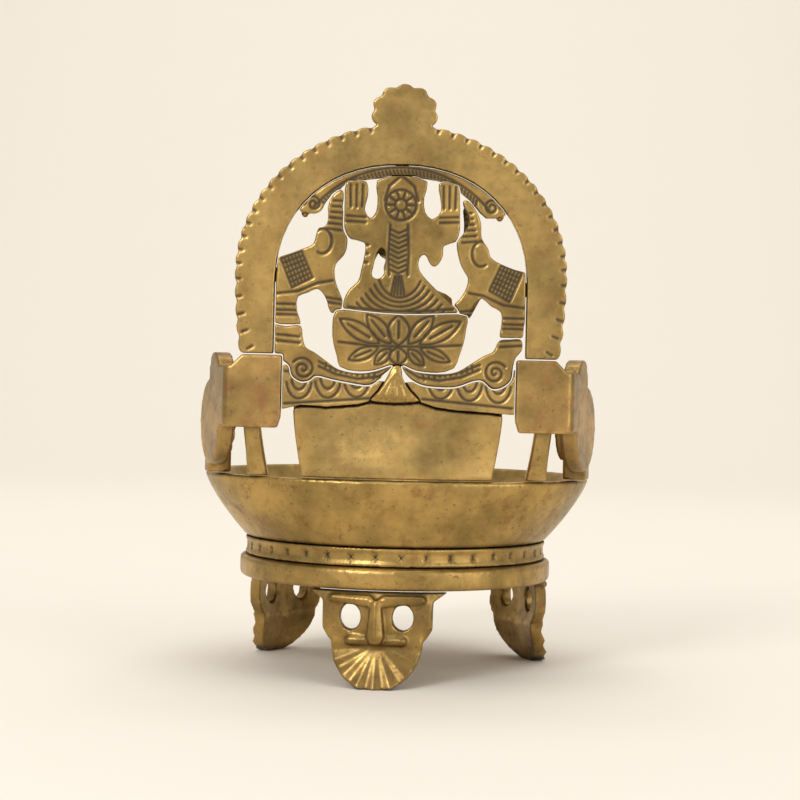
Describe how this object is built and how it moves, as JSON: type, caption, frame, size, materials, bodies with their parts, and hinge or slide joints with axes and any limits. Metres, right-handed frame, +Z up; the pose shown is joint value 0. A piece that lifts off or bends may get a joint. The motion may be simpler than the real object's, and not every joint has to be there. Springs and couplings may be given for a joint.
{
  "type": "gajalakshmi oil lamp",
  "caption": "Cast brass oil lamp: spouted bowl on a three-footed stand, with an openwork plaque of a seated goddess between elephants under an arch.",
  "frame": {"origin": "under the middle of the lamp's box, on the surface that it stands on", "axes": "+Z up, -Y the way the spout points, +Y the back of the plaque, +X the left side of someone who sits behind the plaque and looks over the spout"},
  "size_m": [0.095, 0.104, 0.139],
  "materials": {
    "brass_bowl": "worn cast brass with dark stains",
    "brass_punched": "worn cast brass, star punched",
    "brass_feet": "worn cast brass with black patina in the grooves",
    "brass_plaque": "filed and brushed cast brass",
    "brass_relief": "chased cast brass with black patina",
    "brass_wing": "cast brass with a warm stain"
  },
  "bodies": {
    "root": {"oil_bowl": "brass_bowl", "collar_band": "brass_punched", "stand_plate": "brass_bowl", "rear_foot": "brass_feet", "front_right_foot": "brass_feet", "front_left_foot": "brass_feet", "support_plate": "brass_plaque", "left_post": "brass_plaque", "right_post": "brass_plaque", "beam": "brass_plaque", "apron": "brass_relief", "arch_frame": "brass_plaque", "crest_palmette": "brass_relief", "garland": "brass_relief", "goddess": "brass_relief", "lotus_seat": "brass_relief", "left_elephant": "brass_relief", "right_elephant": "brass_relief", "left_scroll": "brass_relief", "right_scroll": "brass_relief", "left_wing": "brass_wing", "right_wing": "brass_wing"}
  },
  "joints": []
}
